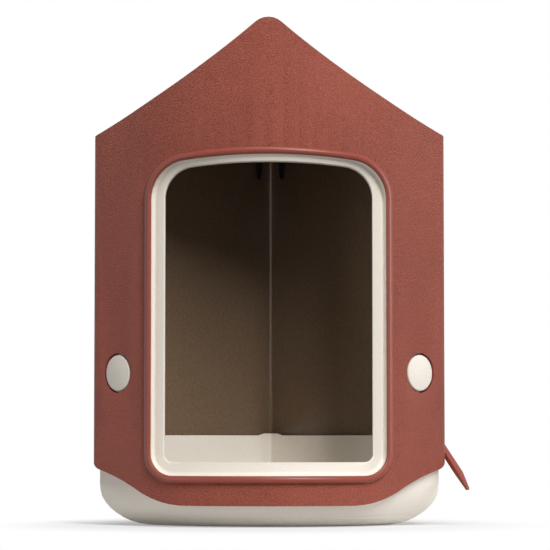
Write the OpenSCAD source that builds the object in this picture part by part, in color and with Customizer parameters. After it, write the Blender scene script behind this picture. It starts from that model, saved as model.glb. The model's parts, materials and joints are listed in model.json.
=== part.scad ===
/* [Plan] */
// Middle to the sharp side and rear corners of the square plan
half_diagonal = 102.5; // [95:0.5:115]
// Radius that rounds the front corner into the bowed face
front_radius = 108; // [100:1:114]
// Rounding of the left and right corners of the shell
side_corner_r = 6; // [4.5:0.5:8]
// Rounding of the rear corner of the shell
rear_corner_r = 8; // [7:0.5:12]

/* [Roof] */
// Height of the roof edge at the side corners
eave_z = 221; // [219:1:235]
// Height where the two roof slopes would meet
ridge_z = 285.8; // [275:0.2:300]
// Radius of each hollow roof slope
slope_radius = 375; // [340:5:600]
// Rounding of the roof's tip
tip_radius = 11; // [6:0.5:12]

/* [Shell] */
// Wall of the shell
shell_wall = 3; // [2.4:0.1:3.6]
// Upright thickness of the roof
roof_wall = 3.6; // [3:0.1:5]
// How far the shell wraps past the side corners
wrap_back = 3; // [1:0.5:4]
// Depth of the roof's skirt round the back
rear_skirt = 14; // [8:1:20]
// Height of the shell's lower edge in front
hem_z = 12; // [10:0.5:16]
// Half width of the level stretch of the lower edge
hem_half_w = 46; // [40:1:50]
// Radius of the lower bend of the edge
hem_low_r = 50; // [45:1:55]
// Steepest angle of the edge
hem_angle = 33.5; // [28:0.5:36]
// Radius of the upper bend of the edge
hem_high_r = 100; // [95:1:105]
// Rounding of the edge's end corners
hem_corner_r = 5.5; // [4:0.5:8]

/* [Window] */
// Half width of the opening
opening_half_w = 57.8; // [50:0.2:60]
// Height of the sill
sill_z = 36; // [34:0.5:40]
// Height of the top of the opening
opening_top_z = 202; // [180:1:203]
// Radius of the shallow arch over the opening
arch_r = 460; // [400:10:600]
// Top corner radius of the opening
opening_top_r = 17; // [12:0.5:19]
// Bottom corner radius of the opening
opening_low_r = 4.5; // [3:0.5:8]
// Width of the frame at the sides
frame_side = 7.6; // [6:0.2:9]
// Width of the frame along the sill
frame_low = 7.3; // [6:0.1:8]
// Width of the frame along the top
frame_top = 3.6; // [3:0.1:5]
// Front edge of the frame below the shell's face
frame_recess = 0.6; // [0.2:0.1:1.2]
// Depth of the frame from front to back
frame_depth = 6.4; // [5.6:0.2:8]
// Clip flange behind the shell, past the frame
flange_w = 3; // [2:0.5:4]
// Thickness of the clip flange
flange_t = 1.8; // [1.4:0.1:2.2]
// Width of the raised rim
rim_w = 4.3; // [3:0.1:6]
// Height of the raised rim over the shell
rim_h = 3; // [2:0.1:4]
// Radius that rounds the shoulders of the bead
rim_round = 1.4; // [1:0.1:1.6]

/* [Rear housing] */
// Wall of the rear housing
housing_wall = 2.2; // [1.8:0.1:2.6]
// Half width of the housing's open front
housing_front_half_w = 72; // [71:0.5:73]
// Snap tab width
tab_w = 14; // [10:1:18]
// Snap tab thickness
tab_t = 1.5; // [1.2:0.1:1.8]
// How far the tab hangs below the base's edge
tab_drop = 13; // [11:0.5:14]
// Height of the tab's hook
tab_hook_h = 4; // [3:0.5:5]

/* [Base] */
// Height of the base's edge inside the shell
base_edge_z = 44; // [42:0.5:47]
// Wall of the base
base_wall = 2.2; // [1.8:0.1:2.6]
// Rounding of the base's underside
base_fillet = 24; // [20:0.5:26]
// Height of the base's floor
base_floor_z = 7.6; // [7:0.1:8.5]
// Rounding inside the base
base_inner_fillet = 18; // [16:0.5:19]
// Height of the foot's sole
foot_h = 5; // [4.5:0.1:5.6]
// Step between the sole and the base
foot_step = 0.3; // [0.2:0.1:0.5]
// Drain hole diameter
drain_d = 5; // [3:0.5:6]
// Drain holes from the middle
drain_reach = 34; // [25:1:40]

/* [Feed tray] */
// Height of the tray's edge
tray_edge_z = 51; // [48:0.5:55]
// Wall of the tray
tray_wall = 1.8; // [1.4:0.1:2.2]
// Rounding of the tray's underside
tray_fillet = 17; // [15:0.5:17.5]
// Setback of the tray behind the front flats
tray_front_inset = 12.6; // [12.4:0.1:14]
// Setback of the tray before the rear walls
tray_rear_inset = 8.6; // [8.4:0.1:10]
// Height of the tray's low front edge under the sill
tray_front_drop = 2; // [1:0.5:5]
// Half width of the lifting lip in the rear corner
lip_half_w = 10; // [7:0.5:14]
// Length of each sloped end of the lip
lip_slope = 6; // [4:0.5:8]
// Height of the lifting lip
lip_h = 1.2; // [0.8:0.1:2]

/* [Buttons] */
// Button diameter
button_d = 21; // [18:0.5:22]
// Gap round the button
button_gap = 0.7; // [0.5:0.1:1]
// Button height over the table
button_z = 86; // [82:1:92]
// Button from the sharp side corner along the flat
button_from_corner = 23.9; // [21:0.1:25]
// How far the button stands out
button_proud = 0.5; // [0.2:0.1:0.8]
// Rounding of the button's edge
button_edge_r = 1; // [0.6:0.1:1.4]
// Radius of the button's dome
button_dome_r = 75; // [60:1:120]
// Latch arm width
arm_w = 17; // [14:0.5:18]
// Latch arm thickness
arm_t = 2; // [1.6:0.1:2]
// Latch arm above the button's middle
arm_over = 12.5; // [12:0.5:15]
// Radius of the latch arm's round foot
pivot_r = 2.2; // [1.8:0.1:2.4]
// Pivot behind the shell's face
pivot_inset = 6.8; // [6.6:0.1:7.2]
// Width of the pivot socket
socket_w = 22; // [20:0.5:24]

/* [Hanger] */
// Distance between the two prongs
prong_gap = 13.4; // [11:0.2:16]
// Prong width at its root
prong_w = 4.5; // [4:0.1:5]
// Prong width at its tip
prong_tip_w = 2.5; // [2:0.1:3]
// Prong thickness from front to back
prong_t = 3.2; // [2.4:0.1:4]
// Height of the prong's tip
prong_tip_z = 205.5; // [200:0.5:208]
// Height of the bars that carry the prongs
bar_z = 220; // [219:0.5:222]
// Thickness of these bars
bar_h = 5; // [4:0.5:6]
// Height of the slots in the rear housing
slot_h = 26; // [24:1:28]
// Half width of the hanger's saddle
saddle_half_w = 15; // [13:0.5:17]
// Saddle below the bars
saddle_low = 6; // [4:0.5:8]
// Saddle above the slots
saddle_over = 5; // [4:0.5:6]
// Flat back of the saddle behind the shell's sharp rear corner
saddle_back = 0.5; // [0:0.1:3]
// Diameter of the hanging hole
hang_hole_d = 9; // [8:0.5:10]
// Depth of the hanging hole
hang_hole_deep = 3.6; // [3:0.2:4.4]
// Width of the slot over the hanging hole
hang_slot_w = 4.6; // [4:0.1:5]
// Length of that slot
hang_slot_l = 10; // [8:0.5:12]

/* [Strap] */
// Height of the strap, across its length
strap_w = 2.8; // [2.4:0.1:4]
// Depth of the strap off the wall
strap_t = 4.6; // [4:0.1:5]
// Stud to the tip of the strap
strap_l = 92; // [80:1:94]
// Length of the tapered end
strap_taper = 12; // [8:1:16]
// Height of the tip
strap_tip_w = 1.8; // [1.4:0.1:2.4]
// Radius of the eye round the stud
eye_r = 5.5; // [5:0.1:7]
// Slope of the strap below level
strap_angle = 49; // [40:1:55]
// Stud from the sharp side corner along the rear wall
stud_from_corner = 47.8; // [45:0.1:52]
// Height of the stud
stud_z = 89.6; // [88:0.2:100]
// Shank diameter of the stud
stud_d = 4.6; // [4:0.1:5]
// Head diameter of the stud
stud_head_d = 9; // [8:0.5:10]
// Thickness of the stud's head and clip
stud_head_t = 1.8; // [1.4:0.1:2.4]
// Height of the stud's collar off the rear wall
stud_collar = 4; // [3.6:0.1:5]

/* [Fits] */
// Clearance between pieces that are fixed
fit = 0.4; // [0.3:0.05:0.5]
// Clearance between pieces that move
play = 0.3; // [0.25:0.05:0.4]
// Radial clearance of the strap on its stud
running = 0.05; // [0.03:0.01:0.08]

/* [Hidden] */
$fn = 96;

brick = "#9C5346";
cream = "#E6DED2";
taupe = "#8B8070";
black = "#1B1A19";

root2 = sqrt(2);
half2 = sqrt(0.5);
reach = 2 * half_diagonal;
tall = 2 * ridge_z;
// How far a cut reaches past the face that it opens
over = 1;
front_centre_y = front_radius * root2 - half_diagonal;
flat_distance = half_diagonal * half2;

housing_inset = shell_wall + fit;
housing_inner = housing_inset + housing_wall;
base_inset = housing_inset + fit / 2;
rear_face = flat_distance - housing_inset;
least_r = 1.2;
hem_steps = 9;
outline_steps = 12;
corner_steps = 6;
bow_steps = 40;
slope_steps = 16;
fillet_steps = 10;

frame_half_w = opening_half_w + frame_side;
frame_low_z = sill_z - frame_low;
frame_top_z = opening_top_z + frame_top;
frame_low_r = opening_low_r + frame_side;
frame_top_r = opening_top_r + frame_top;

button_t = flat_distance - button_from_corner;
arm_top_z = button_z + arm_over;
arm_outer = shell_wall + 3 / 2 * fit;
pivot_z = base_edge_z;

// Points along an arc from one angle to another, as short chords
function arc(centre, radius, from, to, steps) =
    [for (i = [0 : steps]) let (a = from + (to - from) * i / steps)
        centre + radius * [cos(a), sin(a)]];

// Plan of the house: a square set corner forward, with the front corner rounded to a bow.
// The front and rear faces are moved inwards by their own insets.
function plan(front_inset, rear_inset) =
    let (front_a = half_diagonal - front_inset * root2)
    let (rear_a = half_diagonal - rear_inset * root2)
    let (side_r = max(side_corner_r - min(front_inset, rear_inset), least_r))
    let (rear_r = max(rear_corner_r - rear_inset, least_r))
    let (side_x = (front_a + rear_a) / 2 - side_r * root2)
    let (side_y = (rear_a - front_a) / 2)
    concat(
        arc([0, front_centre_y], front_radius - front_inset, 225, 315, bow_steps),
        arc([side_x, side_y], side_r, -45, 45, corner_steps),
        arc([0, rear_a - rear_r * root2], rear_r, 45, 135, corner_steps),
        arc([-side_x, side_y], side_r, 135, 225, corner_steps));

module prism(inset, low, high) {
    translate([0, 0, low])
        linear_extrude(high - low)
            polygon(plan(inset, inset));
}

// A front-view outline carried through the house from y = front to y = back
module through(front, back) {
    translate([0, back, 0])
        rotate([90, 0, 0])
            linear_extrude(back - front)
                children();
}

// Everything under the roof line, lowered by drop: two hollow slopes and a round tip
module under_roof(drop) {
    run = half_diagonal;
    rise = ridge_z - eave_z;
    chord = norm([run, rise]);
    lift = sqrt(slope_radius ^ 2 - (chord / 2) ^ 2);
    centre_x = run / 2 + lift * rise / chord;
    centre_z = (ridge_z + eave_z) / 2 + lift * run / chord;
    tip_span = slope_radius + tip_radius;
    tip_z = centre_z - sqrt(tip_span ^ 2 - centre_x ^ 2);
    touch_x = centre_x * tip_radius / tip_span;
    touch_z = tip_z + (centre_z - tip_z) * tip_radius / tip_span;
    tip_angle = atan2(touch_z - tip_z, touch_x);
    eave_angle = atan2(eave_z - centre_z, run - centre_x);
    top_angle = atan2(touch_z - centre_z, touch_x - centre_x);
    slope = arc([centre_x, centre_z], slope_radius, eave_angle, top_angle, slope_steps);
    tip = arc([0, tip_z], tip_radius, tip_angle, 180 - tip_angle, corner_steps);
    translate([0, -drop])
        polygon(concat(
            [[-run, -reach], [run, -reach]], slope,
            [for (i = [1 : corner_steps - 1]) tip[i]],
            [for (i = [slope_steps : -1 : 0]) [-slope[i].x, slope[i].y]]));
}

// Everything under the shell's lower edge: level in front, then an S up to the side corners
module under_hem() {
    bend = [hem_half_w + hem_low_r * sin(hem_angle), hem_z + hem_low_r * (1 - cos(hem_angle))];
    high = bend + hem_high_r * [sin(hem_angle), -cos(hem_angle)];
    side_edge_x = half_diagonal - side_corner_r * (root2 - 1);
    corner_x = side_edge_x + fit / 2 - hem_corner_r;
    end_angle = asin((high.x - corner_x) / (hem_high_r + hem_corner_r));
    turn = high + (hem_high_r + hem_corner_r) * [-sin(end_angle), cos(end_angle)];
    low = [hem_half_w, hem_z + hem_low_r];
    edge = concat(
        arc(low, hem_low_r, 270, 270 + hem_angle, hem_steps),
        rest(arc(high, hem_high_r, 90 + hem_angle, 90 + end_angle, hem_steps)),
        rest(arc(turn, hem_corner_r, 270 + end_angle, 360, hem_steps)));
    last = len(edge) - 1;
    polygon(concat(edge, [[reach, edge[last].y], [reach, -reach], [-reach, -reach], [-reach, edge[last].y]],
        [for (i = [last : -1 : 0]) [-edge[i].x, edge[i].y]]));
}

// A window outline with round corners and a shallow arch for its top edge
module outline(half_w, low, high, low_r, high_r) {
    arch_z = high - arch_r;
    top_x = half_w - high_r;
    top_z = arch_z + sqrt((arch_r - high_r) ^ 2 - top_x ^ 2);
    lean = atan2(top_z - arch_z, top_x);
    polygon(concat(
        arc([half_w - low_r, low + low_r], low_r, 270, 360, outline_steps),
        arc([top_x, top_z], high_r, 0, lean, outline_steps),
        rest(arc([0, arch_z], arch_r, lean, 180 - lean, outline_steps)),
        rest(arc([-top_x, top_z], high_r, 180 - lean, 180, outline_steps)),
        arc([low_r - half_w, low + low_r], low_r, 180, 270, outline_steps)));
}

function rest(points) = [for (i = [1 : len(points) - 1]) points[i]];

module opening_outline() {
    outline(opening_half_w, sill_z, opening_top_z, opening_low_r, opening_top_r);
}

module frame_outline(grow) {
    outline(frame_half_w + grow, frame_low_z - grow, frame_top_z + grow,
        frame_low_r + grow, frame_top_r + grow);
}

// One pan with upright walls and a rolled lower edge on the same plan
module pan(front_inset, rear_inset, fillet, low, high) {
    lower = [for (i = [0 : fillet_steps]) let (a = 90 * i / fillet_steps)
        [fillet * (1 - sin(a)), low + fillet * (1 - cos(a))]];
    levels = concat(lower, [[0, high]]);
    top = len(levels) - 1;
    count = len(plan(front_inset, rear_inset));
    points = [for (level = levels)
        for (p = plan(front_inset + level.x, rear_inset + level.x)) [p.x, p.y, level.y]];
    walls = [for (j = [0 : top - 1]) for (k = [0 : count - 1])
        let (a = j * count + k)
        let (b = j * count + (k + 1) % count)
        each [[a, a + count, b + count], [a, b + count, b]]];
    polyhedron(points, concat(
        [[for (k = [0 : count - 1]) k]],
        walls,
        [[for (k = [count - 1 : -1 : 0]) top * count + k]]));
}

// Frame of the right front flat: x outwards from the shell's face, y along it at the button
module right_flat() {
    rotate([0, 0, -45])
        translate([flat_distance, button_t, 0])
            children();
}

module both_flats() {
    right_flat()
        children();
    mirror([1, 0, 0])
        right_flat()
            children();
}

// Frame of the right rear wall: x outwards from the housing's face, y to the rear corner
module right_rear(along) {
    rotate([0, 0, 45])
        translate([rear_face, along - flat_distance, 0])
            children();
}

module outward(length, diameter) {
    rotate([0, 90, 0])
        cylinder(h = length, d = diameter);
}

// What lies under the roof at one inset from the shell's face and one depth below the roof
module under_cover(inset, drop, low) {
    intersection() {
        prism(inset, low, tall);
        through(-reach, reach)
            under_roof(drop);
    }
}

module outer_shell() {
    hole_d = button_d + 2 * button_gap;
    color(brick)
        difference() {
            union() {
                under_cover(0, 0, hem_z - over);
                rim_layer(rim_h - rim_round, 0);
                rim_layer(rim_h - rim_round * (1 - half2), rim_round * (1 - half2));
                rim_layer(rim_h, rim_round);
            }
            under_cover(shell_wall, roof_wall, 0);
            through(wrap_back, reach)
                under_roof(rear_skirt);
            through(-reach, reach)
                under_hem();
            through(-reach, -least_r)
                frame_outline(fit / 2);
            both_flats()
                translate([-2 * shell_wall, 0, button_z])
                    outward(4 * shell_wall, hole_d);
        }
}

// One step of the bead round the window: its height, and how far its two edges are set back
module rim_layer(height, setback) {
    intersection() {
        prism(-height, frame_low_z - 2 * rim_w, frame_top_z + 2 * rim_w);
        through(-reach, -shell_wall)
            difference() {
                frame_outline(rim_w - setback);
                frame_outline(setback);
            }
    }
}

module frame_ring(front_inset, depth) {
    intersection() {
        difference() {
            prism(front_inset, frame_low_z - 2 * flange_w, frame_top_z + 2 * flange_w);
            prism(front_inset + depth, 0, tall);
        }
        through(-reach, -shell_wall)
            children();
    }
}

module window_frame() {
    flange_inset = shell_wall + fit / 2;
    sill_back = tray_front_inset - play - fit;
    sill_half_w = opening_half_w - 2 * opening_low_r;
    color(cream)
        union() {
            frame_ring(frame_recess, frame_depth)
                difference() {
                    frame_outline(0);
                    opening_outline();
                }
            frame_ring(flange_inset, flange_t)
                difference() {
                    frame_outline(flange_w);
                    frame_outline(-flange_w);
                }
            frame_ring(flange_inset, sill_back - flange_inset)
                translate([-sill_half_w, frame_low_z + fit])
                    square([2 * sill_half_w, sill_z - frame_low_z - 2 * fit]);
        }
}

module rear_housing() {
    arm_slot_w = arm_w + 4 * play;
    button_way_d = button_d + 2 * (button_gap + play);
    open_top_z = frame_top_z + flange_w + 8 * fit;
    color(taupe)
        union() {
            difference() {
                under_cover(housing_inset, roof_wall + fit, base_edge_z);
                under_cover(housing_inner, roof_wall + fit + housing_wall, 0);
                translate([-housing_front_half_w, -reach, 0])
                    cube([2 * housing_front_half_w, reach - 2 * shell_wall, open_top_z]);
                through(-reach, -2 * shell_wall)
                    frame_outline(flange_w + 2 * fit);
                both_flats()
                    translate([-2 * housing_inner, -arm_slot_w / 2, 0])
                        cube([2 * housing_inner, arm_slot_w, arm_top_z + 4 * play]);
                both_flats()
                    translate([-2 * housing_inner, 0, button_z])
                        outward(2 * housing_inner, button_way_d);
                for (side = [-1, 1])
                    translate([side * prong_gap / 2 - prong_w / 2 - play, 0, bar_z - play])
                        cube([prong_w + 2 * play, reach, slot_h]);
                right_rear(stud_from_corner)
                    translate([-2 * housing_wall, 0, stud_z])
                        outward(4 * housing_wall, stud_d + 2 * running);
            }
            for (side = [0, 1])
                mirror([side, 0, 0])
                    right_rear(flat_distance)
                        snap_tab();
        }
}

// A tongue inside the base's wall with a hook that catches in the wall's slot
module snap_tab() {
    hook_x = base_wall + fit / 2;
    inner = base_inset - housing_inset + base_wall + play;
    low = base_edge_z - tab_drop;
    translate([-inner - tab_t, -tab_w / 2, low])
        cube([tab_t, tab_w, tab_drop + 2 * tab_hook_h]);
    translate([-inner - tab_t, -tab_w / 2, base_edge_z + tab_hook_h])
        cube([inner + tab_t - housing_wall / 2, tab_w, tab_hook_h]);
    translate([-inner - tab_t, -tab_w / 2, low])
        cube([tab_t + hook_x, tab_w, tab_hook_h - play]);
}

module base() {
    notch_half_w = frame_half_w + flange_w + 6 * fit;
    notch_z = frame_low_z - flange_w - 4 * fit;
    tab_slot_z = base_edge_z - tab_drop - play;
    color(cream)
        difference() {
            union() {
                difference() {
                    pan(base_inset, base_inset, base_fillet, 0, base_edge_z);
                    pan(base_inset + base_wall, base_inset + base_wall, base_inner_fillet,
                        base_floor_z, base_edge_z + base_inner_fillet);
                }
                both_flats()
                    pivot_socket();
            }
            translate([-notch_half_w, -reach, notch_z])
                cube([2 * notch_half_w, reach - 2 * shell_wall, reach]);
            translate([-reach, -reach, -over])
                cube([2 * reach, 2 * reach, foot_h + over]);
            for (side = [0, 1])
                mirror([side, 0, 0])
                    right_rear(flat_distance)
                        translate([-3 * base_wall, -tab_w / 2 - play, tab_slot_z])
                            cube([6 * base_wall, tab_w + 2 * play, tab_hook_h + 2 * play]);
            both_flats()
                translate([-pivot_inset, -arm_w, pivot_z])
                    rotate([-90, 0, 0])
                        cylinder(r = pivot_r + play, h = 2 * arm_w);
            drains();
        }
}

// The block on the base's edge that the latch arm's round foot turns in
module pivot_socket() {
    depth = pivot_inset + pivot_r + 2 * play + base_wall / 2 - base_inset;
    high = 2 * pivot_r + base_wall;
    translate([-base_inset - depth, -socket_w / 2, base_edge_z - high])
        cube([depth - base_wall / 2, socket_w, high]);
}

module drains() {
    for (turn = [0 : 90 : 270])
        rotate([0, 0, turn])
            translate([drain_reach, 0, -over])
                cylinder(h = tray_edge_z, d = drain_d);
}

module foot_sole() {
    edge = base_inset - foot_step;
    color(cream)
        difference() {
            pan(edge, edge, base_fillet, 0, base_edge_z);
            translate([-reach, -reach, foot_h])
                cube([2 * reach, 2 * reach, tall]);
            drains();
        }
}

module feed_tray() {
    low = base_floor_z + play;
    front_z = sill_z - tray_front_drop;
    slope_y = -front_centre_y / 2;
    color(cream)
        difference() {
            union() {
                pan(tray_front_inset, tray_rear_inset, tray_fillet, low, tray_edge_z);
                intersection() {
                    translate([0, 0, tray_edge_z - over])
                        linear_extrude(lip_h + over)
                            polygon(plan(tray_front_inset, tray_rear_inset));
                    through(0, reach)
                        polygon([[-lip_half_w, tray_edge_z - over], [lip_half_w, tray_edge_z - over],
                            [lip_half_w - lip_slope, tray_edge_z + lip_h],
                            [lip_slope - lip_half_w, tray_edge_z + lip_h]]);
                }
            }
            pan(tray_front_inset + tray_wall, tray_rear_inset + tray_wall,
                tray_fillet - tray_wall, low + tray_wall, tray_edge_z + 2 * tray_fillet);
            rotate([90, 0, 90])
                translate([0, 0, -reach])
                    linear_extrude(2 * reach)
                        polygon([[-reach, front_z], [slope_y, front_z],
                            [slope_y + tray_edge_z - front_z, tray_edge_z],
                            [slope_y + tray_edge_z - front_z, reach], [-reach, reach]]);
            drains();
        }
}

// The button: a flat disc with a rounded edge and a slight dome
module button() {
    height = arm_outer + button_proud;
    radius = button_d / 2;
    translate([-arm_outer, 0, button_z])
        rotate([0, 90, 0])
            rotate_extrude()
                intersection() {
                    union() {
                        square([radius, height - button_edge_r]);
                        square([radius - button_edge_r, height]);
                        translate([radius - button_edge_r, height - button_edge_r])
                            circle(button_edge_r);
                    }
                    translate([0, height - button_dome_r])
                        circle(button_dome_r, $fn = 360);
                    square([radius, height]);
                }
}

// The latch arm: a springy tongue on a round foot, with the button on its upper end
module latch() {
    foot_top = pivot_z + 1;
    translate([-arm_outer - arm_t, -arm_w / 2, foot_top])
        cube([arm_t, arm_w, arm_top_z - foot_top]);
    translate([-pivot_inset, -arm_w / 2, pivot_z])
        rotate([-90, 0, 0])
            cylinder(r = pivot_r, h = arm_w);
    translate([-pivot_inset, -arm_w / 2, foot_top])
        cube([pivot_inset - arm_outer, arm_w, pivot_r]);
}

module left_button() {
    color(cream)
        mirror([1, 0, 0])
            right_flat()
                button();
}

module right_button() {
    color(cream)
        right_flat()
            button();
}

module left_latch() {
    color(cream)
        mirror([1, 0, 0])
            right_flat()
                latch();
}

module right_latch() {
    color(cream)
        right_flat()
            latch();
}

// The hanger: a saddle on the rear corner, and two prongs that hook in through the housing
module rear_hanger() {
    back_y = half_diagonal + saddle_back;
    low = bar_z - saddle_low;
    high = bar_z + slot_h + saddle_over;
    hole_z = low + hang_hole_d;
    color(black)
        union() {
            difference() {
                translate([-saddle_half_w, half_diagonal / 2, low])
                    cube([2 * saddle_half_w, back_y - half_diagonal / 2, high - low]);
                prism(housing_inset - play, low - over, high + over);
                translate([0, back_y - hang_hole_deep, hole_z])
                    rotate([-90, 0, 0])
                        cylinder(h = 2 * hang_hole_deep, d = hang_hole_d);
                translate([-hang_slot_w / 2, back_y - hang_hole_deep, hole_z])
                    cube([hang_slot_w, 2 * hang_hole_deep, hang_slot_l]);
            }
            for (side = [-1, 1])
                translate([side * prong_gap / 2, 0, 0])
                    prong();
        }
}

module prong() {
    wall_y = (half_diagonal - housing_inner * root2) - prong_gap / 2;
    inside_y = wall_y - prong_w / 2 - prong_t - play;
    outside_y = wall_y + (housing_wall + 2 * play) * root2 + prong_w;
    tip_r = prong_tip_w / 2;
    translate([-prong_w / 2, inside_y, bar_z])
        cube([prong_w, outside_y - inside_y, bar_h]);
    through(inside_y, inside_y + prong_t) {
        polygon([[-tip_r, prong_tip_z + tip_r], [tip_r, prong_tip_z + tip_r],
            [prong_w / 2, bar_z + bar_h], [-prong_w / 2, bar_z + bar_h]]);
        translate([0, prong_tip_z + tip_r])
            circle(tip_r);
    }
}

module tie_strap() {
    standoff = stud_collar + play;
    color(brick)
        right_rear(stud_from_corner)
            translate([standoff, 0, stud_z])
                rotate([90, 0, 90])
                    linear_extrude(strap_t)
                        rotate(180 + strap_angle)
                            difference() {
                                strap_outline();
                                circle(d = stud_d + 2 * running);
                            }
}

module strap_outline() {
    tip_r = strap_tip_w / 2;
    union() {
        circle(eye_r);
        polygon([[0, -strap_w / 2], [strap_l - strap_taper, -strap_w / 2], [strap_l - tip_r, -tip_r],
            [strap_l - tip_r, tip_r], [strap_l - strap_taper, strap_w / 2], [0, strap_w / 2]]);
        translate([strap_l - tip_r, 0])
            circle(tip_r);
    }
}

// A push-in rivet: clip inside the housing, collar outside, and a head over the strap's eye
module strap_stud() {
    head_x = stud_collar + strap_t + 2 * play;
    color(brick)
        right_rear(stud_from_corner)
            translate([0, 0, stud_z])
                union() {
                    outward(stud_collar, stud_head_d);
                    translate([-housing_wall - stud_head_t, 0, 0])
                        outward(housing_wall + stud_head_t + head_x, stud_d);
                    translate([-housing_wall - stud_head_t, 0, 0])
                        outward(stud_head_t, stud_head_d - stud_head_t);
                    translate([head_x, 0, 0])
                        outward(stud_head_t, stud_head_d);
                }
}

outer_shell();
window_frame();
rear_housing();
base();
foot_sole();
feed_tray();
left_button();
right_button();
left_latch();
right_latch();
rear_hanger();
tie_strap();
strap_stud();
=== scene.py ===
# %% [markdown]
# # A corner bird feeder in moulded plastic
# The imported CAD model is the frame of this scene: every solid is already in its place, in
# metres, with Z up and the middle of the foot at the origin. What is missing is what a mould and
# a studio give: rounded edges, a sand-grained skin, a satin cream, soft light.

import bpy
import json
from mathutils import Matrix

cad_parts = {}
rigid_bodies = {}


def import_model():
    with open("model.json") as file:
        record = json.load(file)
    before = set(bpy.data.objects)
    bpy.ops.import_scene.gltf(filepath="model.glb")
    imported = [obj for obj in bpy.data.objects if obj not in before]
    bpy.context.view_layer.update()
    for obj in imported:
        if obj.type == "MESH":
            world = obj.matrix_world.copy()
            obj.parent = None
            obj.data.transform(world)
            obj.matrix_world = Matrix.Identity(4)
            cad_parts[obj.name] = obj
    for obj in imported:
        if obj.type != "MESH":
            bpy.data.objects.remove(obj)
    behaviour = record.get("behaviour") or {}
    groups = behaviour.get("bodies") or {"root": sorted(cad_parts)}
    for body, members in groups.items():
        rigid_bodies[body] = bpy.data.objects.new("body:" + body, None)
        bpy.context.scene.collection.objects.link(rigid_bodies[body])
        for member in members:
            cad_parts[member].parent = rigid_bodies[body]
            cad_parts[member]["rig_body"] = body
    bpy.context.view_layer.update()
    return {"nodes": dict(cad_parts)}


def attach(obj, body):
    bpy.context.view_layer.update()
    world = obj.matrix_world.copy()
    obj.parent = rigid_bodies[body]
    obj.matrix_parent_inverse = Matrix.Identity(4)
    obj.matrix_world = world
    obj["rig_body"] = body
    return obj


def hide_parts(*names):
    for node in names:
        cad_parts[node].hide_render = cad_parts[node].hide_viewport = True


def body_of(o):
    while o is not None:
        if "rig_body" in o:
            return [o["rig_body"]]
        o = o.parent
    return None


for old in list(bpy.data.objects):
    bpy.data.objects.remove(old)

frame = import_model()

# %% [markdown]
# The other modules are Blender's own. Sizes are written in millimetres, as on a drawing, and
# turned to metres by one factor.

# %% Modules and units
import json
import math

import bmesh
from mathutils import Vector

MM = 0.001
ROOT_2 = math.sqrt(2)

# %% [markdown]
# Colours are picked as sRGB hex values, as a paint chip or a web colour is named. Shaders work
# in linear light, so one function does the change, with the constants of the sRGB standard. A
# second small function adds a node to a tree, sets its values and links its inputs, which keeps
# each material short enough to read.

# %% Colour and node helpers
def linear(hex_code):
    """An sRGB hex colour as linear red, green, blue and alpha."""
    channels = [int(hex_code[i : i + 2], 16) / 255 for i in (1, 3, 5)]
    return [c / 12.92 if c <= 0.04045 else ((c + 0.055) / 1.055) ** 2.4 for c in channels] + [1.0]


def add_node(tree, kind, settings=None, links=None):
    """Adds one node: settings are attributes or input values, links are input to output socket."""
    node = tree.nodes.new(kind)
    for key, value in (settings or {}).items():
        if isinstance(key, str) and hasattr(node, key):
            setattr(node, key, value)
        else:
            node.inputs[key].default_value = value
    for key, source in (links or {}).items():
        tree.links.new(source, node.inputs[key])
    return node


print("a mid brick in linear light:", [round(v, 3) for v in linear("#9C5346")[:3]])

# %% [markdown]
# Nearly every piece is injection moulded polypropylene, so one recipe serves them all: two tones
# of one colour, a grain pressed in by the mould, and a sheen, which is how strongly the skin
# mirrors the room. A picture of a skin could be wrapped on instead, but noise has no seams, and
# its size is a plain number. A noise texture counts its waves in one metre, so its scale is one
# over a size in metres. It reads the piece's own coordinates, so it stays put when a piece moves.

# %% A moulded plastic with grain
PLASTIC_IOR = 1.49
CLOUD_MM = 45.0
GRAIN_SHARE, CLOUD_SHARE = 0.8, 0.15
DARK_AT, LIGHT_AT = 0.3, 0.65


def moulded_plastic(name, dark, light, roughness, sheen, grain_mm, grain_depth_mm):
    """A plastic skin: its tone and its bumps follow a fine grain, and faint clouds lie over it."""
    material = bpy.data.materials.new(name)
    material.use_nodes = True
    tree = material.node_tree
    shader = tree.nodes["Principled BSDF"]
    shader.inputs["Roughness"].default_value = roughness
    shader.inputs["Specular IOR Level"].default_value = sheen
    shader.inputs["IOR"].default_value = PLASTIC_IOR
    place = add_node(tree, "ShaderNodeTexCoord").outputs["Object"]
    cloud = add_node(
        tree, "ShaderNodeTexNoise", {"Scale": 1 / (CLOUD_MM * MM), "Detail": 3.0}, {"Vector": place}
    )
    grain = add_node(
        tree,
        "ShaderNodeTexNoise",
        {"Scale": 1 / (grain_mm * MM), "Detail": 2.0, "Roughness": 0.55},
        {"Vector": place},
    )
    faint = add_node(
        tree, "ShaderNodeMath", {"operation": "MULTIPLY", 1: CLOUD_SHARE}, {0: cloud.outputs["Fac"]}
    )
    both = add_node(
        tree,
        "ShaderNodeMath",
        {"operation": "MULTIPLY_ADD", 1: GRAIN_SHARE},
        {0: grain.outputs["Fac"], 2: faint.outputs["Value"]},
    )
    tone = add_node(tree, "ShaderNodeValToRGB", {}, {"Fac": both.outputs["Value"]})
    for stop, position, colour in zip(tone.color_ramp.elements, (DARK_AT, LIGHT_AT), (dark, light)):
        stop.position = position
        stop.color = linear(colour)
    tree.links.new(tone.outputs["Color"], shader.inputs["Base Color"])
    bump = add_node(
        tree,
        "ShaderNodeBump",
        {"Strength": 1.0, "Distance": grain_depth_mm * MM},
        {"Height": grain.outputs["Fac"]},
    )
    tree.links.new(bump.outputs["Normal"], shader.inputs["Normal"])
    print("material:", name)
    return material


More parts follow.
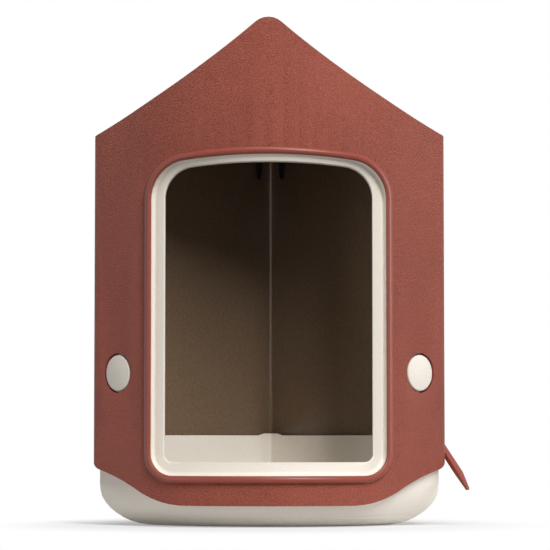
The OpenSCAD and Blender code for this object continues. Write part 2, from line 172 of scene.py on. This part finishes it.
# %% [markdown]
# The shell's mould was blasted with grit, so its skin is sandy. The real grain is finer than half
# a millimetre and not as deep: it is drawn as coarse as it needs to be to show in the render. The
# bead, the strap and the stud are smooth, and their grain is only a faint unevenness.

# %% The two red plastics
# A dry, sandy red: thousands of small highlights and dark pores, and little shine.
brick_skin = moulded_plastic(
    "sand-grained brick polypropylene",
    dark="#6E2E23",
    light="#B05C48",
    roughness=0.45,
    sheen=0.28,
    grain_mm=0.5,
    grain_depth_mm=0.8,
)
# A calm red beside the sandy one, with a long soft highlight along the bead.
brick_smooth = moulded_plastic(
    "satin brick polypropylene",
    dark="#843D30",
    light="#904434",
    roughness=0.36,
    sheen=0.35,
    grain_mm=0.8,
    grain_depth_mm=0.03,
)

# %% [markdown]
# The cream scatters light softly, with hardly a highlight. The rear walls are the glossiest
# piece: their gloss draws the bright strip down the rear corner. The hanger carries the weight,
# so it is taken as nylon, and in the shade of the roof it shows hardly more than its outline.

# %% The cream, taupe and black plastics
# A warm, slightly waxy white with soft shades.
cream_satin = moulded_plastic(
    "satin cream polypropylene",
    dark="#E3DCD0",
    light="#EAE3D8",
    roughness=0.42,
    sheen=0.25,
    grain_mm=0.9,
    grain_depth_mm=0.012,
)
# A warm grey brown that mirrors the light from the window near its corner.
taupe_satin = moulded_plastic(
    "satin taupe polypropylene",
    dark="#6E5A47",
    light="#7A6551",
    roughness=0.26,
    sheen=0.6,
    grain_mm=1.6,
    grain_depth_mm=0.02,
)
# A near black that keeps to itself.
black_nylon = moulded_plastic(
    "black moulded nylon",
    dark="#060505",
    light="#0C0B0A",
    roughness=0.5,
    sheen=0.1,
    grain_mm=1.0,
    grain_depth_mm=0.02,
)

# %% [markdown]
# An edited mesh becomes an object in the same way each time: smooth faces, with a crease only
# where two faces meet at a wide angle. The object itself stays at the origin, as the CAD objects
# do, and its place is in its mesh.

# %% From an edited mesh to an object
def object_from(mesh, name, material, crease_deg):
    """An object from an edited mesh, in one material, creased where faces turn further than this."""
    data = bpy.data.meshes.new(name)
    mesh.to_mesh(data)
    mesh.free()
    data.materials.append(material)
    data.shade_smooth()
    data.set_sharp_from_angle(angle=math.radians(crease_deg))
    piece = bpy.data.objects.new(name, data)
    bpy.context.scene.collection.objects.link(piece)
    return piece


# %% [markdown]
# A solid from CAD has knife edges. A moulding doesn't: the mould is rounded there, and the small
# round catches a line of light. A Bevel modifier would trip over the loose triangles of a CAD
# mesh, so the work is done by hand on a copy: its points are merged, its flat triangles are joined
# into whole faces, and only then are the sharp edges bevelled. The copy then stands for the solid.

# %% Round the edges of a copy
MERGE_MM = 0.002
FLAT_DEG, SHARP_DEG, MOULDED_CREASE_DEG = 0.3, 32.0, 35.0
ROUND_STEPS = 3


def soften(node, material, round_mm, shape=None):
    """A copy of a CAD node with rounded edges, on its body; shape moves each of its points first."""
    source = frame["nodes"][node]
    mesh = bmesh.new()
    mesh.from_mesh(source.data)
    if shape:
        for vert in mesh.verts:
            vert.co = shape(vert.co)
    bmesh.ops.remove_doubles(mesh, verts=mesh.verts, dist=MERGE_MM * MM)
    bmesh.ops.dissolve_degenerate(mesh, edges=mesh.edges, dist=MERGE_MM * MM)
    bmesh.ops.dissolve_limit(
        mesh, angle_limit=math.radians(FLAT_DEG), verts=mesh.verts, edges=mesh.edges
    )
    folds = [edge for edge in mesh.edges if len(edge.link_faces) == 2]
    sharp = [edge for edge in folds if edge.calc_face_angle(0) > math.radians(SHARP_DEG)]
    bmesh.ops.bevel(
        mesh,
        geom=sharp,
        offset=round_mm * MM,
        segments=ROUND_STEPS,
        profile=0.5,
        affect="EDGES",
        clamp_overlap=True,
    )
    bmesh.ops.triangulate(mesh, faces=[face for face in mesh.faces if len(face.verts) > 4])
    piece = object_from(mesh, node + "_moulded", material, MOULDED_CREASE_DEG)
    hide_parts(node)
    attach(piece, body_of(source)[0])
    count = len(piece.data.polygons)
    print(node, "has", count, "faces,", len(sharp), "edges rounded by", round_mm, "mm")


# %% [markdown]
# The front wall is bowed: seen from above it is an arc that runs on into two flats at 45 degrees.
# The shell, the window ring and the bead all follow it, so it is worked out once. Two sizes give
# it: how far out a flat would end if the side corner were sharp, and the arc's radius. The arc
# touches both flats, which gives its centre. One function then takes a point of the front view,
# with its height over the wall, to its place.

# %% The bowed front
SIDE_CORNER_X = 102.5
# How far a flat stands from the middle.
FLAT = SIDE_CORNER_X / ROOT_2
BOW_R = 108.0
BOW_Y = BOW_R * ROOT_2 - SIDE_CORNER_X


def on_bow(x, height, z):
    """A point in metres, that far in front of the bowed wall, for x and z of the front view in mm."""
    return (x * MM, (BOW_Y - math.sqrt((BOW_R + height) ** 2 - x**2)) * MM, z * MM)


print("the arc's centre lies", round(BOW_Y, 1), "mm behind the middle of the foot")

# %% [markdown]
# The shell is the sandy red front and roof. Its solid carries the bead round the window as three
# steps. A round bead is swept later, so here the steps go: each point of the copy that stands in
# front of the bowed wall is moved straight back to it. Further out than the bead reaches nothing
# is moved, because there the flats stand in front of the arc's circle.

# %% Dress the shell
BEAD_REACH = 75.0


def without_bead(co):
    """Takes a point of the stepped bead straight back to the bowed wall."""
    x, y = co.x / MM, co.y / MM - BOW_Y
    if math.hypot(x, y) <= BOW_R or abs(x) > BEAD_REACH or y > 0:
        return co
    return Vector(on_bow(x, 0.0, co.z / MM))


soften("outer_shell", brick_skin, 0.5, shape=without_bead)

# %% [markdown]
# The taupe rear walls, the cream base with its sole and tray, the latch arms and the black hanger
# need only rounded edges. The rounds follow the photograph: soft on the mouldings that are seen,
# tighter on the latches inside. The numbers are radii in millimetres.

# %% Dress the plain pieces
for node, material, round_mm in (
    ("rear_housing", taupe_satin, 0.4),
    ("base", cream_satin, 0.5),
    ("foot_sole", cream_satin, 0.5),
    ("feed_tray", cream_satin, 0.5),
    ("left_latch", cream_satin, 0.3),
    ("right_latch", cream_satin, 0.3),
    ("rear_hanger", black_nylon, 0.5),
):
    soften(node, material, round_mm)

# %% [markdown]
# The strap turns on a stud in the right rear wall and hangs forwards and down, past the corner.
# In the photograph its end thins to a small tip, and only from the outer side. The copy's last
# points are pushed towards the wall for that, the more the further they lie along the strap. The
# stud is a plain rivet.

# %% Dress the strap and its stud
# The middle of the strap's eye, and the directions out of the wall and along the strap.
STRAP_HUB = Vector((70.96, 36.06, 89.6))
STRAP_OUT = Vector((1, 1, 0)).normalized()
STRAP_FORWARD = Vector((1, -1, 0)).normalized()
STRAP_DOWN = math.radians(49)
STRAP_ALONG = STRAP_FORWARD * math.cos(STRAP_DOWN) - Vector((0, 0, 1)) * math.sin(STRAP_DOWN)
STRAP_T = 4.6
TIP_START, TIP_L, TIP_THINNER = 80.0, 12.0, 0.6


def thin_tip(co):
    """Thins the strap's end from its outer side."""
    place = co / MM - STRAP_HUB
    share = (place.dot(STRAP_ALONG) - TIP_START) / TIP_L
    if share <= 0:
        return co
    return co - STRAP_OUT * (place.dot(STRAP_OUT) + STRAP_T / 2) * TIP_THINNER * share * MM


soften("tie_strap", brick_smooth, 0.4, shape=thin_tip)
soften("strap_stud", brick_smooth, 0.3)

# %% [markdown]
# A button is a turned form: a slightly domed face, a rounded edge and a short upright side. A
# bevelled disc would have a flat face, so it is drawn as one profile of radius and height, from
# the middle of the face to the back, which is then turned round its axis. The radius is a quarter
# of a millimetre less than the solid's, so that the gap round the button shows.

# %% Profile of a button
# Heights are over the flat: the middle of the face stands proud, the back lies behind it.
BUTTON_R, BUTTON_PROUD, BUTTON_BACK = 10.25, 0.5, -3.6
DOME_R, EDGE_R = 75.0, 1.0
PROFILE_STEPS = 6


def button_profile():
    """Radius and height over the flat in mm, from the middle of the face to the back."""
    face_r = BUTTON_R - EDGE_R
    radii = [face_r * i / PROFILE_STEPS for i in range(PROFILE_STEPS + 1)]
    face = [(r, BUTTON_PROUD - r * r / (2 * DOME_R)) for r in radii]
    low = face[-1][1] - EDGE_R
    turns = [math.radians(90 * i / PROFILE_STEPS) for i in range(1, PROFILE_STEPS + 1)]
    edge = [(face_r + EDGE_R * math.sin(t), low + EDGE_R * math.cos(t)) for t in turns]
    return face + edge + [(BUTTON_R, BUTTON_BACK)]


print("a button's profile has", len(button_profile()), "points")

# %% [markdown]
# Each button sits in a flat beside the window. Its points are set there while it is turned, so
# that the object itself stays unturned at the origin. The left button is the mirror image of the
# right one. A mirrored mesh is inside out, so the faces are turned outwards afterwards.

# %% Turn the buttons
BUTTON_FROM_CORNER, BUTTON_Z = 23.9, 86.0
BUTTON_ALONG = FLAT - BUTTON_FROM_CORNER
TURN_STEPS = 72
DRAWN_CREASE_DEG = 50.0


def on_flat(sign, height, along, z):
    """A point in metres at a height over the left (-1) or right (1) flat, along it and up, in mm."""
    out = FLAT + height
    return (sign * ((out + along) / ROOT_2) * MM, (along - out) / ROOT_2 * MM, z * MM)


def turned_button(side, sign):
    """Turns the profile into a closed button in the flat of one side."""
    mesh = bmesh.new()
    rings = []
    for radius, height in button_profile():
        ring = []
        for i in range(TURN_STEPS if radius else 1):
            turn = 2 * math.pi * i / TURN_STEPS
            along, z = BUTTON_ALONG + radius * math.cos(turn), BUTTON_Z + radius * math.sin(turn)
            ring.append(mesh.verts.new(on_flat(sign, height, along, z)))
        rings.append(ring)
    for inner, outer in zip(rings, rings[1:]):
        for i in range(TURN_STEPS):
            k = (i + 1) % TURN_STEPS
            corners = (inner[0],) if len(inner) == 1 else (inner[k], inner[i])
            mesh.faces.new((*corners, outer[i], outer[k]))
    mesh.faces.new(rings[-1])
    bmesh.ops.recalc_face_normals(mesh, faces=mesh.faces)
    node = side + "_button"
    piece = object_from(mesh, node + "_moulded", cream_satin, DRAWN_CREASE_DEG)
    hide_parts(node)
    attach(piece, body_of(frame["nodes"][node])[0])
    print(node, "has", len(piece.data.polygons), "faces")


turned_button("left", -1)
turned_button("right", 1)

# %% [markdown]
# The window is the face of the object, so its ring and its bead are drawn anew at a finer step.
# Both follow one outline: upright sides, small round corners below, larger ones above and a top
# that is a very shallow arch. It is walked as points in the front view with fixed counts, so that
# the same step on two outlines is the same place on the ring.

# %% Window outlines
OPENING = dict(half_w=57.8, low=36.0, high=202.0, low_r=4.5, high_r=17.0)
FRAME = dict(half_w=65.4, low=28.7, high=205.6, low_r=12.1, high_r=20.6)
ARCH_R = 460.0
LOW_STEPS, HIGH_STEPS, ARCH_STEPS, SIDE_STEPS, SILL_STEPS = 10, 16, 40, 24, 40


def arc(x, z, radius, start, end, steps):
    """Points on an arc, angles in degrees from +X towards +Z."""
    turns = [math.radians(start + (end - start) * i / steps) for i in range(steps + 1)]
    return [(x + radius * math.cos(t), z + radius * math.sin(t)) for t in turns]


def line(start, end, steps):
    """Points between two ends, without the ends."""
    dx, dz = end[0] - start[0], end[1] - start[1]
    return [(start[0] + dx * i / steps, start[1] + dz * i / steps) for i in range(1, steps)]


def window_outline(half_w, low, high, low_r, high_r, grow=0.0):
    """The closed window outline as (x, z) in mm, grown outwards, counter-clockwise from below."""
    half_w, low, high = half_w + grow, low - grow, high + grow
    low_r, high_r = low_r + grow, high_r + grow
    arch_z = high - ARCH_R
    top_x = half_w - high_r
    top_z = arch_z + math.sqrt((ARCH_R - high_r) ** 2 - top_x**2)
    lean = math.degrees(math.atan2(top_z - arch_z, top_x))
    low_right = arc(half_w - low_r, low + low_r, low_r, 270, 360, LOW_STEPS)
    high_right = arc(top_x, top_z, high_r, 0, lean, HIGH_STEPS)
    high_left = arc(-top_x, top_z, high_r, 180 - lean, 180, HIGH_STEPS)
    low_left = arc(low_r - half_w, low + low_r, low_r, 180, 270, LOW_STEPS)
    arch = arc(0, arch_z, ARCH_R, lean, 180 - lean, ARCH_STEPS)[1:-1]
    right = line(low_right[-1], high_right[0], SIDE_STEPS)
    left = line(high_left[-1], low_left[0], SIDE_STEPS)
    sill = line(low_left[-1], low_right[0], SILL_STEPS)
    return low_right + right + high_right + arch + high_left + left + low_left + sill


print("one window outline has", len(window_outline(**FRAME)), "points")

# %% [markdown]
# The cream ring is wider at the sides than at the top, so no single section can be swept round
# it. It is lofted instead: each row of points is the outline at one place of the section, and
# the rows are stitched to a closed tube. Three small helpers do that: one stitches, one finds the
# outline a little way from another, and one sets rows on the bowed wall.

# %% Loft rows into tubes
def loft(mesh, rows, closed=True):
    """Stitches rows of points into a tube, where the last row meets the first; returns its points."""
    layers = [[mesh.verts.new(point) for point in row] for row in rows]
    count = len(rows[0])
    for layer, after in zip(layers, layers[1:] + layers[:1]):
        for i in range(count if closed else count - 1):
            k = (i + 1) % count
            mesh.faces.new((layer[i], layer[k], after[k], after[i]))
    return layers


def apart(near, far, gap, part=1.0):
    """Points a gap away from one outline towards another, at most half way, and of that a part."""
    out = []
    for a, b in zip(near, far):
        share = min(gap / math.dist(a, b), 0.5) * part
        out.append((a[0] + (b[0] - a[0]) * share, a[1] + (b[1] - a[1]) * share))
    return out


def rows_on_bow(section):
    """Each row is an outline and its height over the wall: one number, or one for each point."""
    rows = []
    for outline, height in section:
        heights = height if isinstance(height, list) else [height] * len(outline)
        rows.append([on_bow(x, h, z) for (x, z), h in zip(outline, heights)])
    return rows


print("the ring is", round(FRAME["half_w"] - OPENING["half_w"], 1), "mm wide at its sides")

# %% [markdown]
# The section of the ring is a shallow funnel: a rolled edge round the opening, which catches the
# light along the sill, a face that leans inwards, and a steep cove that rises to the bead. The
# cove is bright where it faces the lamp and darker on the other side. Where the ring is narrow,
# at the top, it is less deep as well. Its outer edge reaches a little under the bead, because no
# gap is seen there.

# %% Section of the window ring
# Heights over the bowed wall, from the bead inwards and then to the back.
CREST, KNEE, LIP, BACK = 1.4, -2.9, -3.2, -7.0
# Widths in the front view; from the last one on, the ring has its whole depth.
COVE_W, ROLL, FULL_W = 2.8, 1.3, 7.3
RIM_REACH, CREST_SIDE, BACK_EDGE = 0.25, 0.6, 0.5
COVE_STEPS, ROLL_STEPS = 9, 6
opening = window_outline(**OPENING)
rim = window_outline(grow=RIM_REACH, **FRAME)


def sunk(depth):
    """Heights over the wall, at a depth below the crest that is less where the ring is narrow."""
    return [CREST - depth * min(math.dist(a, b) / FULL_W, 1.0) for a, b in zip(opening, rim)]


section = [(rim, BACK), (rim, CREST - CREST_SIDE)]
for step in range(COVE_STEPS + 1):
    turn = math.radians(90 * (1 - step / COVE_STEPS))
    cove = apart(rim, opening, COVE_W, 1 - math.sin(turn))
    section.append((cove, sunk((CREST - KNEE) * math.cos(turn))))
for step in range(ROLL_STEPS + 1):
    turn = math.radians(90 * step / ROLL_STEPS)
    roll = apart(opening, rim, ROLL, 1 - math.sin(turn))
    section.append((roll, sunk(CREST - LIP + ROLL * (1 - math.cos(turn)))))
section += [(opening, BACK + BACK_EDGE), (apart(opening, rim, BACK_EDGE), BACK)]
print("the ring's section has", len(section), "points")

# %% [markdown]
# Behind the wall a clip flange holds the ring, and a shelf runs from its sill to the tray. They
# are hardly seen, but they are there in the solid, so they are drawn with the same loft: the
# flange as a closed loop, the shelf as an open run with two ends.

# %% Build the window frame
# Backs and fronts are heights over the wall, so behind it they are negative.
FLANGE_REACH, FLANGE_BACK, FLANGE_FRONT = 3.0, -5.0, -3.2
SHELF_HALF_W, SHELF_LOW, SHELF_HIGH = 48.8, 29.1, 35.6
SHELF_BACK, SHELF_FRONT = -11.9, -3.2
SHELF_STEPS = 24
flange_out = window_outline(grow=FLANGE_REACH, **FRAME)
flange_in = window_outline(grow=-FLANGE_REACH, **FRAME)
flange = [
    (flange_out, FLANGE_BACK),
    (flange_out, FLANGE_FRONT),
    (flange_in, FLANGE_FRONT),
    (flange_in, FLANGE_BACK),
]
shelf_x = [SHELF_HALF_W * (i / SHELF_STEPS - 1) for i in range(2 * SHELF_STEPS + 1)]
shelf = [
    ([(x, z) for x in shelf_x], height)
    for z, height in (
        (SHELF_LOW, SHELF_BACK),
        (SHELF_HIGH, SHELF_BACK),
        (SHELF_HIGH, SHELF_FRONT),
        (SHELF_LOW, SHELF_FRONT),
    )
]
mesh = bmesh.new()
loft(mesh, rows_on_bow(section))
loft(mesh, rows_on_bow(flange))
runs = loft(mesh, rows_on_bow(shelf), closed=False)
mesh.faces.new([run[0] for run in runs])
mesh.faces.new([run[-1] for run in reversed(runs)])
bmesh.ops.recalc_face_normals(mesh, faces=mesh.faces)
window_frame = object_from(mesh, "window_frame_moulded", cream_satin, DRAWN_CREASE_DEG)
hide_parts("window_frame")
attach(window_frame, "feeder")
print("window frame has", len(window_frame.data.polygons), "faces")

# %% [markdown]
# The bead round the window has one section all the way, a rounded bar, so Geometry Nodes can
# sweep it, and its sizes stay open to change as named inputs. The tree takes the outline as a
# flat loop of edges, sweeps the bar along it, and wraps the flat result on the bowed wall. The
# inputs come first. All lengths in the tree are millimetres.

# %% Inputs of the bead tree
tree = bpy.data.node_groups.new("bead on a bowed wall", "GeometryNodeTree")
interface = tree.interface
interface.new_socket("Outline", in_out="INPUT", socket_type="NodeSocketGeometry")
bead_sizes = {
    "Bead Width": 4.1,
    "Bead Height": 2.98,
    "Sunk Depth": 1.2,
    "Shoulder": 2.0,
    "Bow Radius": BOW_R,
    "Bow Centre": BOW_Y,
}
sockets = {
    name: interface.new_socket(name, in_out="INPUT", socket_type="NodeSocketFloat")
    for name in bead_sizes
}
finish = interface.new_socket("Finish", in_out="INPUT", socket_type="NodeSocketMaterial")
interface.new_socket("Bead", in_out="OUTPUT", socket_type="NodeSocketGeometry")
given = add_node(tree, "NodeGroupInput").outputs
print("bead tree has", len(bead_sizes), "named sizes")

# %% [markdown]
# The section is a rectangle with filleted corners, as high as the bead and its sunk foot
# together. It is moved along its own Y so that the foot goes below the wall: Curve to Mesh lays
# that Y downwards here, which is why the move has a minus sign.

# %% Section of the bead
CORNER_STEPS = 7
full = add_node(
    tree,
    "ShaderNodeMath",
    {"operation": "ADD"},
    {0: given["Bead Height"], 1: given["Sunk Depth"]},
)
above = add_node(
    tree,
    "ShaderNodeMath",
    {"operation": "SUBTRACT"},
    {0: given["Bead Height"], 1: given["Sunk Depth"]},
)
half = add_node(
    tree, "ShaderNodeMath", {"operation": "MULTIPLY", 1: -0.5}, {0: above.outputs["Value"]}
)
bar = add_node(
    tree,
    "GeometryNodeCurvePrimitiveQuadrilateral",
    {},
    {"Width": given["Bead Width"], "Height": full.outputs["Value"]},
)
round_bar = add_node(
    tree,
    "GeometryNodeFilletCurve",
    {"mode": "POLY", "Count": CORNER_STEPS, "Limit Radius": True},
    {"Curve": bar.outputs["Curve"], "Radius": given["Shoulder"]},
)
lift = add_node(tree, "ShaderNodeCombineXYZ", {}, {"Y": half.outputs["Value"]})
bead_section = add_node(
    tree,
    "GeometryNodeTransform",
    {},
    {"Geometry": round_bar.outputs["Curve"], "Translation": lift.outputs["Vector"]},
)
print("bead section is made of", len(tree.nodes) - 1, "nodes")

# %% [markdown]
# The loop of edges becomes a curve whose normals all lie flat, so that the section doesn't twist
# on its way round. The swept bar lies on paper, with its height in Z. To wrap it, each point keeps
# its X, its height is added to the bow's radius, and the circle's equation gives its depth.

# %% Sweep and wrap
path = add_node(tree, "GeometryNodeMeshToCurve", {}, {"Mesh": given["Outline"]})
upright = add_node(
    tree, "GeometryNodeSetCurveNormal", {"mode": "Z_UP"}, {"Curve": path.outputs["Curve"]}
)
swept = add_node(
    tree,
    "GeometryNodeCurveToMesh",
    {},
    {"Curve": upright.outputs["Curve"], "Profile Curve": bead_section.outputs["Geometry"]},
)
where = add_node(tree, "GeometryNodeInputPosition").outputs["Position"]
flat = add_node(tree, "ShaderNodeSeparateXYZ", {}, {"Vector": where}).outputs
reach = add_node(
    tree, "ShaderNodeMath", {"operation": "ADD"}, {0: given["Bow Radius"], 1: flat["Z"]}
)
square = add_node(tree, "ShaderNodeMath", {"operation": "POWER", 1: 2.0}, {0: reach.outputs["Value"]})
across = add_node(tree, "ShaderNodeMath", {"operation": "POWER", 1: 2.0}, {0: flat["X"]})
inside = add_node(
    tree,
    "ShaderNodeMath",
    {"operation": "SUBTRACT"},
    {0: square.outputs["Value"], 1: across.outputs["Value"]},
)
root = add_node(tree, "ShaderNodeMath", {"operation": "SQRT"}, {0: inside.outputs["Value"]})
front = add_node(
    tree,
    "ShaderNodeMath",
    {"operation": "SUBTRACT"},
    {0: given["Bow Centre"], 1: root.outputs["Value"]},
)
wrapped = add_node(
    tree, "ShaderNodeCombineXYZ", {}, {"X": flat["X"], "Y": front.outputs["Value"], "Z": flat["Y"]}
)
print("bead tree has", len(tree.nodes), "nodes so far")

# %% [markdown]
# At the end the millimetres become metres. The export drops instances, so the tree ends in
# Realize Instances, which costs nothing where there are none, and Set Material.

# %% End of the bead tree
metres = add_node(
    tree,
    "ShaderNodeVectorMath",
    {"operation": "SCALE", "Scale": MM},
    {0: wrapped.outputs["Vector"]},
)
placed = add_node(
    tree,
    "GeometryNodeSetPosition",
    {},
    {"Geometry": swept.outputs["Mesh"], "Position": metres.outputs["Vector"]},
)
real = add_node(tree, "GeometryNodeRealizeInstances", {}, {"Geometry": placed.outputs["Geometry"]})
dressed = add_node(
    tree,
    "GeometryNodeSetMaterial",
    {},
    {"Geometry": real.outputs["Geometry"], "Material": given["Finish"]},
)
add_node(tree, "NodeGroupOutput", {}, {"Bead": dressed.outputs["Geometry"]})
print("bead tree has", len(tree.nodes), "nodes")

# %% [markdown]
# The loop of edges goes in, the swept bead comes out and is frozen to a plain mesh. Its middle
# line lies a little outside the frame's edge, so that the bead's inner side stands at the ring.
# The seam, where the sweep ends at its start, is merged, and the faces are turned outwards.

# %% Make the bead
BEAD_OUT = 2.25
loop = window_outline(grow=BEAD_OUT, **FRAME)
edges = [(i, (i + 1) % len(loop)) for i in range(len(loop))]
data = bpy.data.meshes.new("bead path")
data.from_pydata([(x, z, 0.0) for x, z in loop], edges, [])
path_object = bpy.data.objects.new("bead path", data)
bpy.context.scene.collection.objects.link(path_object)
sweep = path_object.modifiers.new("sweep", "NODES")
sweep.node_group = tree
for name, value in bead_sizes.items():
    sweep[sockets[name].identifier] = float(value)
sweep[finish.identifier] = brick_smooth
evaluated = path_object.evaluated_get(bpy.context.evaluated_depsgraph_get())
data = bpy.data.meshes.new_from_object(evaluated)
bpy.data.objects.remove(path_object)
mesh = bmesh.new()
mesh.from_mesh(data)
bmesh.ops.remove_doubles(mesh, verts=mesh.verts, dist=MERGE_MM * MM)
bmesh.ops.recalc_face_normals(mesh, faces=mesh.faces)
mesh.to_mesh(data)
mesh.free()
data.name = "window_bead"
data.shade_smooth()
bead = bpy.data.objects.new("window_bead", data)
bpy.context.scene.collection.objects.link(bead)
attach(bead, "feeder")
print("bead has", len(data.polygons), "faces, box", [round(v / MM, 1) for v in bead.dimensions])

# %% [markdown]
# A white ground in a studio picture is easily made with too much light, and then it bleaches the
# object. Here the ground is white only for what is seen: the Light Path node tells a ray from the
# camera, from a mirror or through glass from one that only carries light on.

# %% What is seen directly
def seen_directly(tree):
    """1 for what the camera sees, also in a mirror or through glass, and 0 for bounced light."""
    ray = add_node(tree, "ShaderNodeLightPath").outputs
    mirror = add_node(
        tree,
        "ShaderNodeMath",
        {"operation": "MAXIMUM"},
        {0: ray["Is Camera Ray"], 1: ray["Is Glossy Ray"]},
    )
    glass = add_node(
        tree,
        "ShaderNodeMath",
        {"operation": "MAXIMUM"},
        {0: mirror.outputs["Value"], 1: ray["Is Transmission Ray"]},
    )
    return glass.outputs["Value"]


# %% [markdown]
# The floor is a sheet of pale paper. Near the object it keeps the shadow and throws light up, and
# a little further out it fades to the white of the world for the camera. The light that it throws
# back gets less at the edge of a table that isn't seen. Distances are in metres from the middle.

# %% Floor
FLOOR_SIZE = 8.0
WHITE_FROM, WHITE_TO, WHITE_NEAR = 0.07, 0.17, 0.35
TABLE_FROM, TABLE_TO, BOUNCE_NEAR, BOUNCE_FAR = 0.12, 0.26, 0.8, 0.12
PAPER_SEEN = 0.85


def studio_floor():
    """White paper that fades to pure white for the camera; past the table it bounces little light."""
    bpy.ops.mesh.primitive_plane_add(size=FLOOR_SIZE, location=(0, 0, 0))
    floor = bpy.context.object
    floor.name = "floor"
    material = bpy.data.materials.new("pale studio paper")
    material.use_nodes = True
    tree = material.node_tree
    tree.nodes.clear()
    place = add_node(tree, "ShaderNodeTexCoord").outputs["Object"]
    far = add_node(tree, "ShaderNodeVectorMath", {"operation": "LENGTH"}, {0: place}).outputs["Value"]
    ramp = {"interpolation_type": "SMOOTHSTEP"}
    fade_range = {"From Min": WHITE_FROM, "From Max": WHITE_TO, "To Min": WHITE_NEAR, "To Max": 1.0}
    fade = add_node(tree, "ShaderNodeMapRange", ramp | fade_range, {"Value": far})
    seen = seen_directly(tree)
    white = add_node(
        tree, "ShaderNodeMath", {"operation": "MULTIPLY"}, {0: fade.outputs["Result"], 1: seen}
    )
    table_range = {
        "From Min": TABLE_FROM,
        "From Max": TABLE_TO,
        "To Min": BOUNCE_NEAR,
        "To Max": BOUNCE_FAR,
    }
    table = add_node(tree, "ShaderNodeMapRange", ramp | table_range, {"Value": far})
    shade = add_node(
        tree,
        "ShaderNodeMapRange",
        {"To Max": PAPER_SEEN},
        {"Value": seen, "To Min": table.outputs["Result"]},
    )
    paper = add_node(tree, "ShaderNodeBsdfDiffuse", {}, {"Color": shade.outputs["Result"]})
    glow = add_node(tree, "ShaderNodeEmission", {"Color": linear("#FFFFFF"), "Strength": 1.0})
    mix = add_node(
        tree,
        "ShaderNodeMixShader",
        {},
        {0: white.outputs["Value"], 1: paper.outputs["BSDF"], 2: glow.outputs["Emission"]},
    )
    add_node(tree, "ShaderNodeOutputMaterial", {}, {"Surface": mix.outputs["Shader"]})
    floor.data.materials.append(material)


studio_floor()
print("the floor is", FLOOR_SIZE, "m wide")

# %% [markdown]
# The world is a white room to look at. As a light it is only a weak, even fill, so that the
# shades come from the lamps.

# %% World
WORLD_FILL = 0.02


def white_world(fill):
    """A white room to look at, that lights the object with only this strength."""
    world = bpy.data.worlds.new("white studio")
    bpy.context.scene.world = world
    world.use_nodes = True
    tree = world.node_tree
    tree.nodes.clear()
    level = add_node(
        tree, "ShaderNodeMapRange", {"To Min": fill, "To Max": 1.0}, {"Value": seen_directly(tree)}
    )
    light = add_node(
        tree,
        "ShaderNodeBackground",
        {"Color": linear("#FFFFFF")},
        {"Strength": level.outputs["Result"]},
    )
    add_node(tree, "ShaderNodeOutputWorld", {}, {"Surface": light.outputs["Background"]})


white_world(WORLD_FILL)
print("the world's fill is", WORLD_FILL)

# %% [markdown]
# Four soft boxes. The key is a tall one, in front, to the right and above: it models the bead and
# the ring, and reaches through the window as far as the tray and the left rear wall. One on the
# right brightens that side of the bowed front, a weak one on the left keeps the other side from
# going black, and one overhead lights the slopes of the roof and the floor. They stand about
# 1.6 m away. Blender counts watts of light and not of current, so the numbers are low.

# %% Lamps
LAMP_AIM = (0, 0, 0.14)


def soft_box(name, place, size, watts):
    """A rectangular lamp at a place in metres, turned to the middle of the house."""
    lamp = bpy.data.lights.new(name, "AREA")
    lamp.shape = "RECTANGLE"
    lamp.size, lamp.size_y = size
    lamp.energy = watts
    holder = bpy.data.objects.new(name, lamp)
    bpy.context.scene.collection.objects.link(holder)
    holder.location = place
    holder.rotation_euler = (Vector(LAMP_AIM) - Vector(place)).to_track_quat("-Z", "Y").to_euler()
    print(name, "gives", watts, "W")


soft_box("key soft box", (0.51, -1.19, 1.08), (0.4, 1.0), 25)
soft_box("right side soft box", (1.58, 0.0, 0.36), (0.5, 0.5), 7.4)
soft_box("left fill soft box", (-1.32, -0.89, 0.25), (0.5, 0.5), 3.6)
soft_box("top soft box", (0.0, -0.41, 1.69), (0.6, 0.6), 6)

# %% [markdown]
# The photograph was taken with a long lens from just above the table, looking a little up. The
# lens and the place were found by laying the model's outline over the picture's.

# %% Camera
LENS_MM, SENSOR_MM = 171.9, 36.0
CAMERA_PLACE, CAMERA_AIM = Vector((0.0136, -1.50, 0.0481)), Vector((0.0033, 0.0, 0.1425))
lens = bpy.data.cameras.new("camera")
lens.lens = LENS_MM
lens.sensor_width = SENSOR_MM
camera = bpy.data.objects.new("camera", lens)
bpy.context.scene.collection.objects.link(camera)
camera.location = CAMERA_PLACE
camera.rotation_euler = (CAMERA_AIM - CAMERA_PLACE).to_track_quat("-Z", "Y").to_euler()
bpy.context.scene.camera = camera
bpy.context.scene.view_settings.view_transform = "Standard"
print("camera looks from", [round(v, 3) for v in camera.location])
